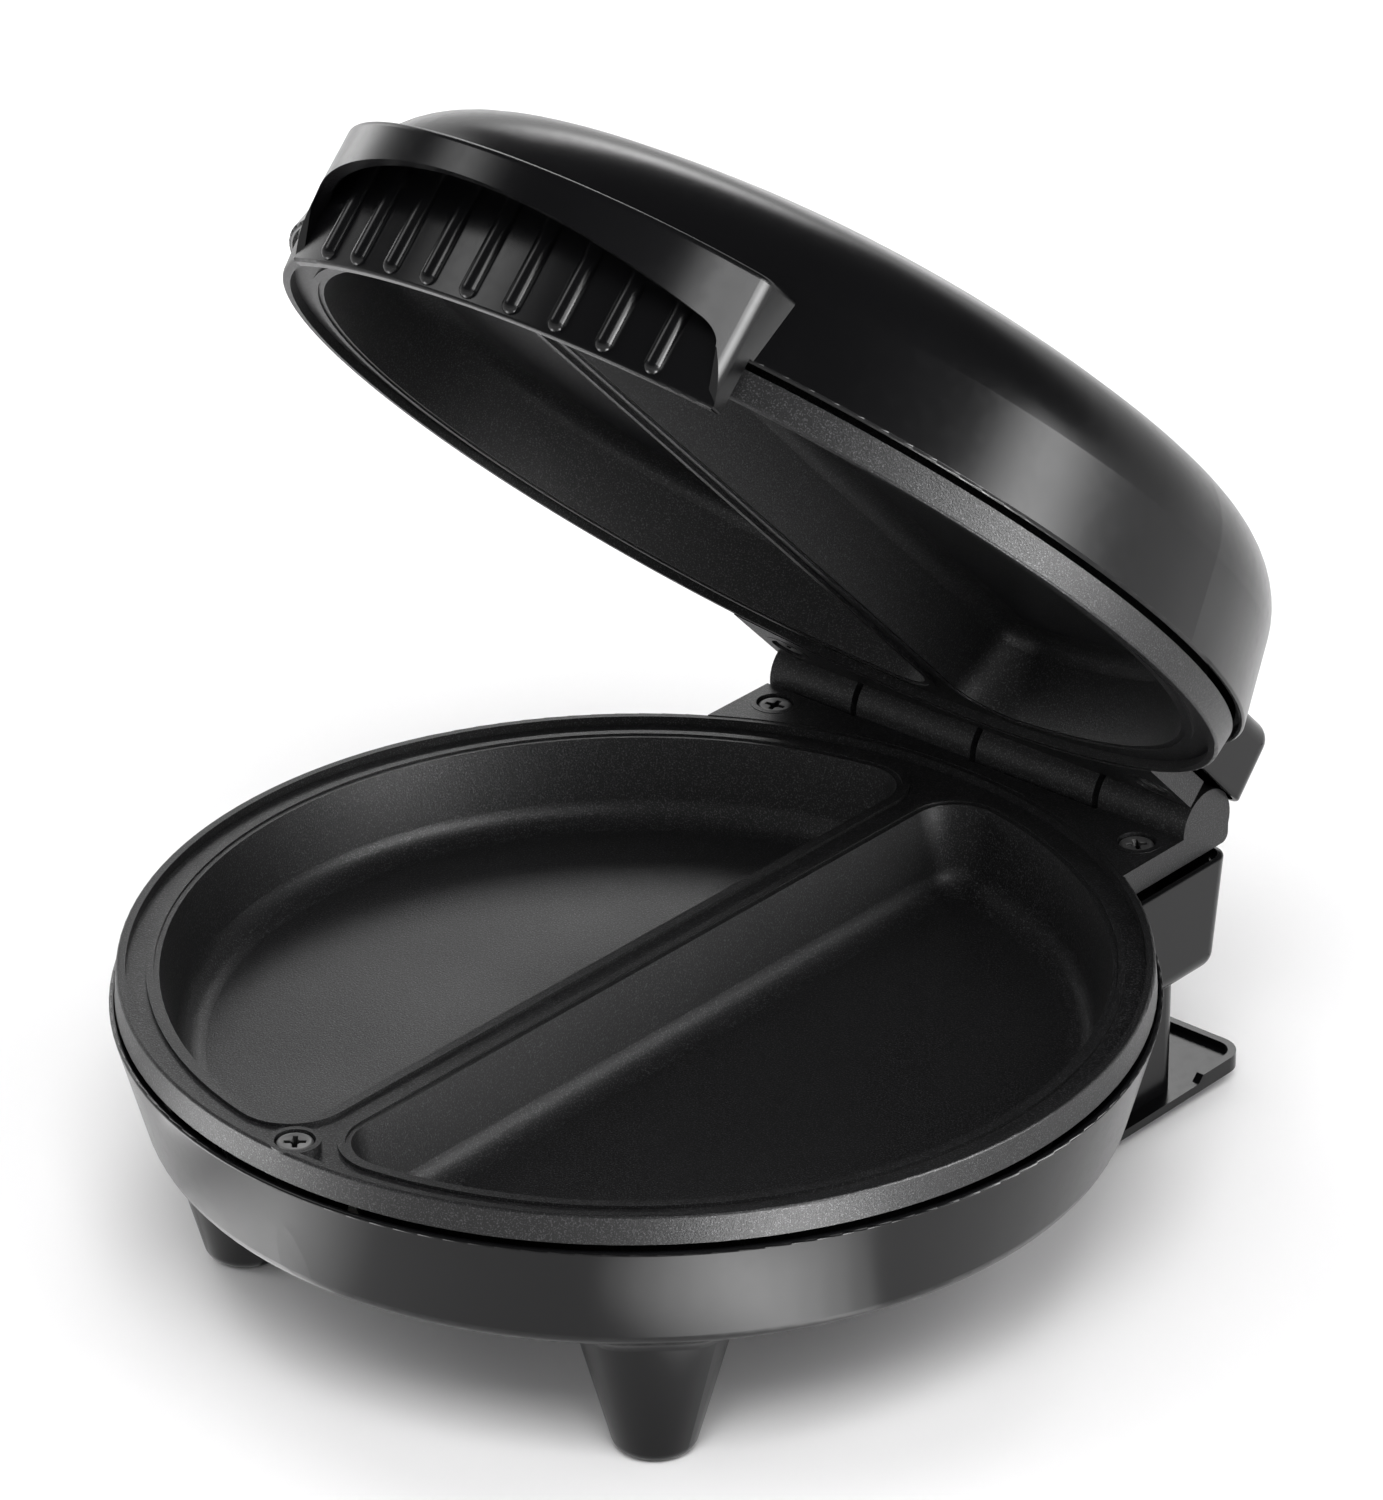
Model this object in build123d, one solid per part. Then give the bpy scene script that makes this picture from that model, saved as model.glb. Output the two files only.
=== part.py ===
from build123d import *
import math
import os

# Electric omelette maker with two half-moon wells, millimetres, +Z up.
# Modelled about the vertical axis of the round body, table top at z = 0, front at -Y,
# lid closed.  The lid pieces are then swung up by rest_opening about the hinge pin.
# Last of all every piece moves along Y by one amount, so that the origin lies under
# the middle of the whole appliance.

# ------------------------------------------------------------------ driving dimensions
# round body
body_radius = 108.0            # top edge of the base housing
housing_top = 59.7             # height of that edge above the table
housing_bottom = 33.5          # flat underside of the bowl
housing_wall = 2.4
mouth_lip = 1.1                # thin lip left outside the rebate at both housing mouths
mouth_rebate = 1.6             # depth of that rebate
bowl_draft = 15.0              # degrees, side wall of the bowl
bowl_corner = 5.0
edge_round = 0.6               # broken edge round the housing mouths and plate rims

# cooking plates, one casting used twice
plate_standoff = 1.2           # air gap between housing edge and plate
plate_height = 6.0
plate_inset = 1.4              # plate inside the housing edge
plate_draft = 0.5              # how much narrower the plate is at its rim
plate_gap = 1.2                # between the two closed plates
rim_width = 1.9
floor_drop = 2.0               # flat floor below the rim
floor_thickness = 2.5
skirt_thickness = 2.3
well_inset = 9.2               # well mouth inside the plate
well_divider = 9.2             # distance between the two well mouths
well_corner = 10.0
well_depth = 18.0
well_draft = 12.0              # degrees
well_wall = 2.2
well_foot_round = 6.0
lip_width = 2.6
lip_height = 0.8
lip_step = 1.1                 # width of the lip's inner, lower step

# hinge
hinge_setback = 9.6            # hinge axis behind the round body
hinge_side_gap = 0.2           # knuckle ends to the side walls of the boxes
knuckle_radius = 8.0
knuckle_heel = 7.6             # square heel behind the pin
knuckle_heel_round = 2.0
knuckle_gap = 1.6
inner_knuckle = 31.6
pin_radius = 2.5
pin_running_gap = 0.05
pin_seat_gap = 0.02
pin_end_wall = 2.5
pin_setback = 0.8
pin_chamfer = 0.4
hinge_clearance = 0.8          # round the other plate's knuckles
ear_rise = 6.2                 # thickness of the hinge flange
ear_wall = 3.5

# rear boxes of both housings
box_half_width = 59.5
box_setback = 15.5             # rear face behind the round body, at the mouth
base_box_slope = 8.0           # degrees, rear face of the base box
lid_box_slope = 3.5            # degrees, rear face of the lid box
box_corner = 4.5
lid_box_height = 17.0

# lid dome
dome_overhang = 0.6            # dome outside the base housing
dome_draft = 11.8              # degrees
dome_height = 48.3
dome_crown_radius = 314.0
dome_shoulder = 22.5

# legs
leg_inset = 26.4               # leg centres inside the round body
leg_gap = 0.6                  # flare of the rear legs to the cord winder
leg_tip_radius = 8.2
leg_tip_round = 3.2
leg_draft = 15.0               # degrees
leg_flare = 5.0
leg_wall = 3.0

# cord winder: hollow column on a flanged foot
winder_half_width = 54.0
winder_front_inset = 26.0      # inside the round body
winder_rear_setback = 6.0      # behind the round body
winder_corner = 5.0
winder_wall = 2.4
foot_half_width = 57.5
foot_front_inset = 36.0        # inside the round body
foot_rear_setback = 26.2       # behind the round body
foot_bottom = 3.0              # clear of the table
foot_corner = 6.0
foot_thickness = 2.0
foot_rim_height = 1.6
foot_rim_width = 1.8
foot_rim_setback = 3.0         # raised rim begins this far behind the column
lead_slot_width = 44.0
lead_slot_depth = 12.0

# handle
handle_half_width = 54.0       # of the hood and of the ribbed wall
handle_reach = 18.3            # of the hood in front of the ribbed wall
handle_front_radius = 64.0     # front of the hood in plan
handle_corner = 6.0
handle_front_height = 88.7     # top edge of the hood at the front
handle_top_slope = 2.8         # degrees
handle_skin = 2.7
handle_edge_round = 1.2
handle_gap = 0.3               # to the lid wall
arch_height = 81.8             # lower edge of the hood on the centre line
arch_radius = 255.0
arch_half_width = 52.0
arch_corner = 4.0
cheek_toe_height = 64.5        # lower edge of the cheeks at the ribbed wall
cheek_slope = 60.0             # degrees, lower edge of the cheeks
cheek_rise = 9.0
ribbed_wall_foot = 63.2
ribbed_wall_gap = 3.4          # outside the rim of both plates
rib_count = 9
rib_pitch = 5.4                # degrees
rib_radius = 2.0
rib_foot = 64.0
rib_sink = 0.2

# screws
front_screw_inset = 7.0        # inside the round body
rear_screw_x = 49.7
rear_screw_setback = 14.8      # in front of the hinge axis
screw_head_radius = 3.8
screw_head_height = 2.0
screw_head_round = 0.8
screw_shank_radius = 1.75
screw_hole_gap = 0.05
screw_seat_ring = 5.4          # raised ring round each plate screw
screw_seat_gap = 0.3
screw_grip = 14.0              # thread length in the housing
screw_boss_radius = 4.2
front_boss_radius = 5.2
recess_arm = 4.6
recess_width = 1.1
recess_depth = 1.2
handle_screw_angle = 17.0      # degrees either side of straight ahead
handle_screw_height = 84.0
handle_screw_length = 9.0
handle_pad_radius = 4.2
handle_pad_proud = 0.4         # joint face outside the dome's mouth
handle_pad_depth = 6.0
handle_boss_proud = 0.9        # in front of the ribbed wall
winder_screw_x = 36.0
winder_screw_inset = 10.0      # from the rear of the column
winder_screw_seat = 27.0
winder_screw_length = 16.0
winder_well_radius = 4.6
winder_boss_radius = 4.2
winder_boss_height = 12.0

# heating elements, one under each plate
element_radius = 3.25
element_inset = 39.4           # loop inside the wells' outer wall
element_opening = 24.0         # degrees either side of the rear centre line
element_bend = 10.0
tail_inset = 13.4              # cold ends inside the wells' outer wall
element_gap = 0.3
bead_radius = 3.0
bead_length = 3.0
bead_gap = 0.05
stud_radius = 1.25
stud_length = 7.0
shield_inset = 8.4             # inside the wells' outer wall
shield_thickness = 0.5
shield_rim = 5.0
shield_drop = 0.5              # below the element
shield_notch_width = 66.0
shield_notch_gap = 12.0        # in front of the thermostat
shield_dimple_radius = 6.0     # pressed up round each shield screw
shield_dimple_rise = 2.5
post_y = 38.0
post_radius = 4.0
shield_screw_length = 9.0

# controls and wiring
thermostat_inset = 17.4        # inside the wells' outer wall
thermostat_radius = 8.0
thermostat_height = 5.5
thermostat_cap_radius = 6.5
thermostat_cap_height = 1.5
tab_length = 8.0
tab_width = 4.0
tab_thickness = 0.8
tab_seat = 2.0                 # how far each tab is let into the body
fuse_inset = 21.4              # inside the wells' outer wall
fuse_round = 0.8
fuse_radius = 2.4
fuse_length = 18.0
fuse_lead_radius = 0.6
fuse_lead_span = 23.0
fuse_gap = 0.05
strap_thickness = 0.6
strap_width = 6.0
strap_foot = 4.0
block_length = 42.0
block_depth = 13.0
block_height = 12.0
block_inset = 20.5             # from the rear face of the box
block_hole_gap = 0.1
block_round = 1.0
clamp_radius = 1.8
clamp_depth = 4.0
clamp_gap = 0.05
clamp_slot = 0.7
gland_height = 16.0
gland_bore_radius = 3.4
gland_body_radius = 5.6
gland_flange_radius = 8.0
gland_flange = 2.0
gland_tail = 5.0
gland_hole_gap = 0.1
lead_radius = 1.3
lead_bend = 4.0
lead_bore_offset = 1.6          # of each lead from the centre of the gland
lead_entry_height = 41.5       # into the terminal block
lead_entry_depth = 3.0
lead_fan_inset = 13.0          # from the rear of the column
lead_bore_gap = 0.3            # leads begin this far inside the gland
lead_run_gap = 13.0            # in front of the terminal block
lead_pitch = 13.0

# indicator lamps in the lid
lamp_x = 11.0
lamp_y = -30.0
lens_radius = 3.6
lens_proud = 0.1
lens_bottom = 106.0            # lid closed
lens_flange_radius = 5.0
lens_flange_bottom = 110.8     # lid closed
lens_inner_gap = 0.3
lens_hole_gap = 0.05
bulb_radius = 2.5
bulb_length = 9.0
bulb_round = 2.0
bulb_gap = 0.05
bulb_top = 112.5               # lid closed

# pose in which the appliance is shown and packed
rest_opening = 45.0            # degrees, lid swung up from closed

# overshoot of tools that cut right through
cut_over = 1.0

# ------------------------------------------------------------------ derived dimensions
plate_radius = body_radius - plate_inset
well_radius = plate_radius - well_inset
dome_radius = body_radius + dome_overhang
hinge_y = body_radius + hinge_setback
box_rear = body_radius + box_setback
plate_bottom = housing_top + plate_standoff
plate_top = plate_bottom + plate_height
parting = plate_top + plate_gap / 2
plate_floor = plate_top - floor_drop
plate_underside = plate_floor - floor_thickness
plate_screw_seat = plate_top - screw_head_height - screw_seat_gap
ear_top = plate_bottom + ear_rise
well_mouth = plate_floor + lip_height
well_bottom = plate_floor - well_depth
well_underside = well_bottom - well_wall
hinge_z = parting
hinge_half_width = box_half_width - housing_wall - hinge_side_gap
ear_rear = hinge_y - knuckle_radius - hinge_clearance
end_knuckle = hinge_half_width - knuckle_gap * 1.5 - inner_knuckle
blind_bore_end = hinge_half_width - pin_end_wall
lid_bottom = 2 * parting - housing_top
dome_top = lid_bottom + dome_height
element_z = well_underside - element_radius - element_gap
shield_z = element_z - element_radius - shield_drop - shield_thickness
shield_seat = shield_z + shield_dimple_rise
fuse_z = well_underside - fuse_radius - fuse_gap
foot_top = foot_bottom + foot_thickness
block_floor = housing_bottom + housing_wall
far = 4 * body_radius          # long enough to cut right through anything

leg_mouth = leg_tip_radius + housing_bottom * math.tan(math.radians(leg_draft))
winder_front = body_radius - winder_front_inset
winder_rear = body_radius + winder_rear_setback
foot_front = body_radius - foot_front_inset
foot_rear = body_radius + foot_rear_setback
foot_rim_start = winder_rear + foot_rim_setback
leg_y = winder_front - leg_gap - leg_flare - leg_mouth
leg_x = math.sqrt((body_radius - leg_inset) ** 2 - leg_y ** 2)

ribbed_wall_inner = plate_radius + ribbed_wall_gap
ribbed_wall_radius = ribbed_wall_inner + handle_skin
handle_front = ribbed_wall_radius + handle_reach
handle_pad_face = dome_radius + handle_pad_proud
handle_boss_end = ribbed_wall_radius + handle_boss_proud

front_screw_y = front_screw_inset - body_radius
rear_screw_y = hinge_y - rear_screw_setback
winder_screw_y = winder_rear - winder_screw_inset

element_loop = well_radius - element_inset
element_tail = well_radius - tail_inset
shield_radius = well_radius - shield_inset
thermostat_y = well_radius - thermostat_inset
shield_notch_y = thermostat_y - shield_notch_gap
fuse_y = fuse_inset - well_radius
block_y = box_rear - block_inset
lead_run_y = block_y - lead_run_gap
lead_fan_y = winder_rear - lead_fan_inset

HINGE_AXIS = Axis((0, hinge_y, hinge_z), (-1, 0, 0))
TURNED_OVER = Pos(0, 0, 2 * parting) * Rot(0, 180, 0)


# ------------------------------------------------------------------ helpers
def post(radius, low, high, x=0.0, y=0.0):
    """Round upright post between two heights."""
    return Pos(x, y, (low + high) / 2) * Cylinder(radius, high - low)


def block(x, y, z):
    """Box from three (low, high) ranges."""
    size = [high - low for low, high in (x, y, z)]
    middle = [(high + low) / 2 for low, high in (x, y, z)]
    return Pos(*middle) * Box(*size)


def bar(radius, x_low, x_high):
    """Round bar on the hinge axis."""
    return Pos((x_low + x_high) / 2, hinge_y, hinge_z) * Rot(0, 90, 0) * Cylinder(radius, x_high - x_low)


def turned(points, rounds=()):
    """Solid of revolution about Z from (radius, height) points.

    Each entry of rounds is (point, radius) and rounds that corner of the profile."""
    face = make_face(Polyline(*points, close=True))
    for corner, radius in rounds:
        nearest = face.vertices().sort_by_distance((*corner, 0))[0]
        face = fillet(nearest, radius)
    return revolve(Plane.XZ * face, Axis.Z)


def dome_solid(radius, low, top, crown, shoulder):
    """Dome with a drafted side wall, a rounded shoulder and a shallow crown."""
    slope = math.tan(math.radians(dome_draft))
    centre = top - crown
    # height at which the side wall r = radius - slope * (z - low) meets the crown circle
    a = 1 + slope ** 2
    b = -2 * (centre + slope * (radius + slope * low))
    c = centre ** 2 + (radius + slope * low) ** 2 - crown ** 2
    z = (-b + math.sqrt(b ** 2 - 4 * a * c)) / (2 * a)
    r = radius - slope * (z - low)
    lean = math.asin(r / crown) / 2
    middle = (crown * math.sin(lean), centre + crown * math.cos(lean))
    outline = Polyline((0, top), (0, low), (radius, low), (r, z))
    outline += ThreePointArc((r, z), middle, (0, top))
    face = make_face(outline)
    corner = face.vertices().sort_by_distance((r, z, 0))[0]
    return revolve(Plane.XZ * fillet(corner, shoulder), Axis.Z)


def lid_dome(grow):
    """Dome of the lid with its surface moved outwards by grow."""
    return dome_solid(
        dome_radius + grow, lid_bottom, dome_top + grow, dome_crown_radius + grow, dome_shoulder + grow
    )


def bowl_solid(grow):
    """Bowl of the base with its surface moved outwards by grow, straight on at the mouth."""
    slope = math.tan(math.radians(bowl_draft))
    low = housing_bottom - grow
    radius = body_radius + grow
    foot = (radius - slope * (housing_top - low), low)
    return turned(
        [(0, low), foot, (radius, housing_top), (0, housing_top)], [(foot, bowl_corner + grow)]
    )


def rear_box(mouth, end, slope, inset):
    """Box behind a round housing, from its mouth height to its closed end."""
    depth = abs(end - mouth) - inset
    rear = box_rear - inset
    step = math.copysign(depth, end - mouth)
    side = Polyline(
        (0, mouth),
        (rear, mouth),
        (rear - depth * math.tan(math.radians(slope)), mouth + step),
        (0, mouth + step),
        close=True,
    )
    width = box_half_width - inset
    solid = extrude(Plane.YZ.offset(-width) * make_face(side), amount=2 * width)
    on_mouth = solid.edges().filter_by_position(Axis.Z, mouth, mouth)
    on_front = solid.edges().filter_by_position(Axis.Y, 0, 0)
    outer = [edge for edge in solid.edges() if edge not in on_mouth and edge not in on_front]
    return fillet(outer, box_corner - inset / 2)


def screw(head_radius, length):
    """Round-headed screw that points down from a bearing face at the local origin."""
    head = fillet(post(head_radius, 0, screw_head_height).edges().group_by(Axis.Z)[-1], screw_head_round)
    arm = Pos(0, 0, screw_head_height) * Box(recess_arm, recess_width, 2 * recess_depth)
    return head + post(screw_shank_radius, -length, 0) - arm - Rot(0, 0, 90) * arm


def well_plan(grow, side):
    """Half-moon mouth of one well; side is +1 or -1, grow moves its outline outwards."""
    radius = well_radius + grow
    flat = well_divider / 2 - grow
    moon = Circle(radius) - Pos(flat - radius, 0) * Rectangle(2 * radius, 2 * radius)
    moon = fillet(moon.vertices(), well_corner + grow)
    return moon if side > 0 else Rot(0, 0, 180) * moon


def tapered_well(grow, side, top, bottom, foot_round):
    """Drafted half-moon solid that narrows downwards, its foot rounded."""
    plan = Pos(0, 0, top) * well_plan(grow, side)
    solid = extrude(plan, amount=top - bottom, dir=(0, 0, -1), taper=well_draft)
    return fillet(solid.edges().group_by(Axis.Z)[0], foot_round)


def swept_wire(points, bend, radius):
    """Round wire along straight runs joined by bends of one radius."""
    path = FilletPolyline(*points, radius=bend)
    return sweep(path.location_at(0) * Circle(radius), path=path)


# ------------------------------------------------------------------ cooking plates
def plate_screw_places():
    """Centres of the three screws that hold a plate."""
    return [(0, front_screw_y), (rear_screw_x, rear_screw_y), (-rear_screw_x, rear_screw_y)]


def knuckle_spans():
    """X ranges of the lower plate's two knuckles; the upper plate's are their mirror."""
    near = -knuckle_gap / 2
    return [(hinge_half_width - end_knuckle, hinge_half_width), (near - inner_knuckle, near)]


def knuckle(x_low, x_high):
    """One hinge knuckle of the lower plate: round in front, square heel behind."""
    profile = Pos(hinge_y, hinge_z) * Circle(knuckle_radius)
    heel_middle = Pos(hinge_y + knuckle_heel / 2, (plate_bottom + hinge_z) / 2)
    heel = heel_middle * Rectangle(knuckle_heel, hinge_z - plate_bottom)
    low_corner = heel.vertices().sort_by_distance((hinge_y + far, -far, 0))[0]
    profile += fillet(low_corner, knuckle_heel_round)
    root_front = ear_rear - ear_wall
    root_middle = Pos((root_front + hinge_y) / 2, (plate_bottom + ear_top) / 2)
    profile += root_middle * Rectangle(hinge_y - root_front, ear_rise)
    profile -= Pos(hinge_y, plate_bottom - knuckle_radius / 2) * Rectangle(far, knuckle_radius)
    return extrude(Plane.YZ.offset(x_low) * profile, amount=x_high - x_low)


def hinge_flange():
    """Flat flange behind the round plate, hollow below, that carries the knuckles."""
    roof = ear_top - floor_thickness
    hollow = hinge_half_width - ear_wall
    flange = block((-hinge_half_width, hinge_half_width), (0, ear_rear), (plate_bottom, ear_top))
    under = plate_bottom - cut_over
    flange -= block((-hollow, hollow), (-cut_over, ear_rear - ear_wall), (under, roof))
    flange -= post(plate_radius - skirt_thickness / 2, under, ear_top + cut_over)
    for x, y in plate_screw_places()[1:]:
        flange += post(screw_boss_radius, plate_bottom, ear_top, x, y)
        flange += post(screw_seat_ring, roof, plate_top + screw_seat_gap, x, y)
    return flange


def knuckle_room():
    """Space cleared in a plate for the other plate's knuckles to swing in."""
    room = Part()
    for low, high in knuckle_spans():
        room += bar(knuckle_radius + hinge_clearance, -high - knuckle_gap, -low + knuckle_gap)
    for low, high in knuckle_spans():
        room -= block((low, high), (0, far), (0, far))
    return room


def plate_casting(pin_gap, bore_end):
    """Lower plate casting with hinge bores open on the left and ending at bore_end."""
    rim_top = plate_radius - plate_draft
    body = turned(
        [(0, plate_bottom), (plate_radius, plate_bottom), (rim_top, plate_top), (0, plate_top)],
        [((rim_top, plate_top), edge_round)],
    )
    body -= post(rim_top - rim_width, plate_floor, plate_top + cut_over)
    body -= post(plate_radius - skirt_thickness, plate_bottom - cut_over, plate_underside)
    body += hinge_flange()
    for side in (1, -1):
        body += tapered_well(well_wall, side, plate_floor, well_underside, well_foot_round + well_wall)
        body += extrude(Pos(0, 0, plate_floor) * well_plan(lip_width, side), amount=lip_height)

    # front boss, pads for the thermostat and fuse, posts for the heat shield
    body += post(front_boss_radius, plate_bottom, plate_top, 0, front_screw_y)
    body += post(thermostat_radius, well_underside, plate_floor, 0, thermostat_y)
    half = fuse_radius + fuse_gap + strap_thickness + strap_foot
    fuse_pad = (fuse_y - strap_width / 2, fuse_y + strap_width / 2)
    body += block((-half, half), fuse_pad, (well_underside, plate_floor))
    for side in (1, -1):
        body += post(post_radius, shield_seat + shield_thickness, plate_floor, 0, side * post_y)

    for side in (1, -1):
        body -= extrude(Pos(0, 0, well_mouth) * well_plan(lip_step, side), amount=-lip_height / 2)
        body -= tapered_well(0, side, well_mouth, well_bottom, well_foot_round)
    body -= knuckle_room()
    for low, high in knuckle_spans():
        body += knuckle(low, high)

    # screw seats and screw holes
    for x, y in plate_screw_places():
        body -= post(screw_head_radius + screw_seat_gap, plate_screw_seat, far, x, y)
        body -= post(screw_shank_radius + screw_hole_gap, plate_bottom - cut_over, plate_top, x, y)
    for side in (1, -1):
        depth = shield_seat + shield_screw_length
        body -= post(screw_shank_radius + screw_hole_gap, shield_seat, depth, 0, side * post_y)
    return body - bar(pin_radius + pin_gap, -far, bore_end)


def plate_screws():
    """Three screws that hold the lower plate to its housing."""
    length = plate_screw_seat - plate_bottom + screw_grip
    return [Pos(x, y, plate_screw_seat) * screw(screw_head_radius, length) for x, y in plate_screw_places()]


# ------------------------------------------------------------------ housings
def rounded_mouth(solid, height):
    """Solid with all its edges at one height broken."""
    return fillet(solid.edges().filter_by_position(Axis.Z, height, height), edge_round)


def plate_bosses(face):
    """Bosses of the base housing that the lower plate is screwed to, solid above face."""
    return [post(screw_boss_radius, face, plate_bottom, x, y) for x, y in plate_screw_places()]


def leg(x, y):
    """Round drafted leg, rounded at its foot."""
    top = housing_bottom + housing_wall / 2
    mouth = leg_tip_radius + top * math.tan(math.radians(leg_draft))
    return Pos(x, y, 0) * turned(
        [(0, 0), (leg_tip_radius, 0), (mouth, top), (0, top)], [((leg_tip_radius, 0), leg_tip_round)]
    )


def leg_hollow(x, y):
    """Cavity inside a leg, open into the bowl."""
    slope = math.tan(math.radians(leg_draft))
    top = housing_bottom + housing_wall
    foot = leg_tip_radius - leg_wall + leg_wall * slope
    mouth = leg_tip_radius - leg_wall + top * slope
    return Pos(x, y, 0) * turned([(0, leg_wall), (foot, leg_wall), (mouth, top), (0, top)])


def base_housing():
    """Bowl, rear box and four legs in one moulding."""
    corners = [(side_x * leg_x, side_y * leg_y) for side_x in (1, -1) for side_y in (1, -1)]
    bowl = bowl_solid(0)
    legs = [leg(x, y) for x, y in corners]
    body = bowl + legs
    body = fillet(new_edges(bowl, *legs, combined=body), leg_flare)
    box = rear_box(housing_top, housing_bottom, base_box_slope, 0)
    body += box
    body = rounded_mouth(body, housing_top)
    inside = bowl_solid(-housing_wall) + rear_box(housing_top, housing_bottom, base_box_slope, housing_wall)
    rebate = bowl_solid(-mouth_lip) + rear_box(housing_top, housing_bottom, base_box_slope, mouth_lip)
    inside += rebate & post(far, housing_top - mouth_rebate, housing_top)
    for x, y in corners:
        inside += leg_hollow(x, y)
    body -= inside
    floor = housing_bottom + housing_wall / 2
    outer = bowl + box + post(far, housing_top, plate_bottom)
    for boss in plate_bosses(floor):
        body += boss & outer
    for side in (1, -1):
        x = side * winder_screw_x
        body += post(winder_boss_radius, floor, housing_bottom + winder_boss_height, x, winder_screw_y)
        top = winder_screw_seat + winder_screw_length
        body -= post(screw_shank_radius + screw_hole_gap, 0, top, x, winder_screw_y)
    for x, y in plate_screw_places():
        body -= post(screw_shank_radius + screw_hole_gap, plate_bottom - screw_grip, far, x, y)
    slot = (lead_run_y - lead_slot_depth / 2, lead_run_y + lead_slot_depth / 2)
    body -= block((-lead_slot_width / 2, lead_slot_width / 2), slot, (0, housing_bottom + housing_wall))
    return body


def winder_column(inset, low, high):
    """Column of the cord winder with its walls moved inwards by inset."""
    width = 2 * (winder_half_width - inset)
    depth = winder_rear - winder_front - 2 * inset
    plan = RectangleRounded(width, depth, winder_corner - inset / 2)
    return extrude(Pos(0, (winder_rear + winder_front) / 2, low) * plan, amount=high - low)


def winder_foot(inset, low, high):
    """Foot plate of the cord winder with its rear and side edges moved inwards by inset."""
    width = 2 * (foot_half_width - inset)
    depth = foot_rear - foot_front - inset
    plan = Pos(0, foot_front + depth / 2, low) * Rectangle(width, depth)
    plan = fillet(plan.vertices().sort_by(Axis.Y)[-2:], foot_corner - inset)
    return extrude(plan, amount=high - low)


def cord_winder():
    """Hollow column with a flanged, rimmed foot, screwed up under the base housing."""
    rim_top = foot_top + foot_rim_height
    rim = winder_foot(0, foot_top, rim_top) - winder_foot(foot_rim_width, foot_top, rim_top)
    ramp = (foot_rim_start + foot_rim_height, rim_top)
    wedge = Polyline((0, foot_top), (foot_rim_start, foot_top), ramp, (0, rim_top), close=True)
    rim -= extrude(Plane.YZ.offset(-far) * make_face(wedge), amount=2 * far)
    body = winder_foot(0, foot_bottom, foot_top) + rim + winder_column(0, foot_bottom, housing_bottom)
    body -= winder_column(winder_wall, foot_top, housing_bottom)
    for side in (1, -1):
        place = (side * winder_screw_x, winder_screw_y)
        body += post(winder_well_radius + winder_wall, foot_bottom, housing_bottom, *place)
        body -= post(winder_well_radius, 0, winder_screw_seat, *place)
        body -= post(screw_shank_radius + screw_hole_gap, 0, far, *place)
    hole = Pos(0, winder_rear, gland_height) * Rot(90, 0, 0)
    return body - hole * Cylinder(gland_body_radius + gland_hole_gap, 4 * winder_wall)


def radial_post(radius, low, high):
    """Round post along local x between two distances from the body axis."""
    return Pos((low + high) / 2, 0, 0) * Rot(0, 90, 0) * Cylinder(radius, high - low)


def handle_screw_frames():
    """Frames of the two handle screws, local x pointing outwards from the body axis."""
    angles = [-90 + side * handle_screw_angle for side in (1, -1)]
    return [Pos(0, 0, handle_screw_height) * Rot(0, 0, angle) for angle in angles]


def lid_housing():
    """Domed lid with its rear box, bosses, handle pads and lamp holes, lid closed."""
    box_top = lid_bottom + lid_box_height
    box = rear_box(lid_bottom, box_top, lid_box_slope, 0)
    solid = rounded_mouth(lid_dome(0), lid_bottom) + rounded_mouth(box, lid_bottom)
    inside = lid_dome(-housing_wall) + rear_box(lid_bottom, box_top, lid_box_slope, housing_wall)
    rebate = lid_dome(-mouth_lip) + rear_box(lid_bottom, box_top, lid_box_slope, mouth_lip)
    inside += rebate & post(far, lid_bottom, lid_bottom + mouth_rebate)
    body = solid - inside
    boss_face = lid_bottom - plate_standoff
    room = solid + post(far, boss_face, lid_bottom)
    for x, y in plate_screw_places():
        body += post(screw_boss_radius, boss_face, box_top - housing_wall / 2, -x, y) & room
        body -= post(screw_shank_radius + screw_hole_gap, 0, boss_face + screw_grip, -x, y)
    for frame in handle_screw_frames():
        body += frame * radial_post(handle_pad_radius, handle_pad_face - handle_pad_depth, handle_pad_face)
        body -= frame * radial_post(screw_shank_radius + screw_hole_gap, 0, far)
    for side in (1, -1):
        body -= post(lens_radius + lens_hole_gap, parting, far, side * lamp_x, lamp_y)
    return body


# ------------------------------------------------------------------ handle
def hood_plan(inset):
    """Outline of the hood in plan with its walls moved inwards by inset."""
    front = Pos(0, handle_front_radius - handle_front) * Circle(handle_front_radius - inset)
    plan = front & Pos(0, -far / 2) * Rectangle(2 * (handle_half_width - inset), far)
    return fillet(plan.vertices().sort_by(Axis.Y)[:2], handle_corner - inset)


def under_roof(drop):
    """Everything below the sloping roof of the hood, moved down by drop."""
    front = handle_front_height - drop
    rear = front + handle_front * math.tan(math.radians(handle_top_slope))
    side = Polyline((-handle_front, 0), (0, 0), (0, rear), (-handle_front, front), close=True)
    return extrude(Plane.YZ.offset(-far / 2) * make_face(side), amount=far)


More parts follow.
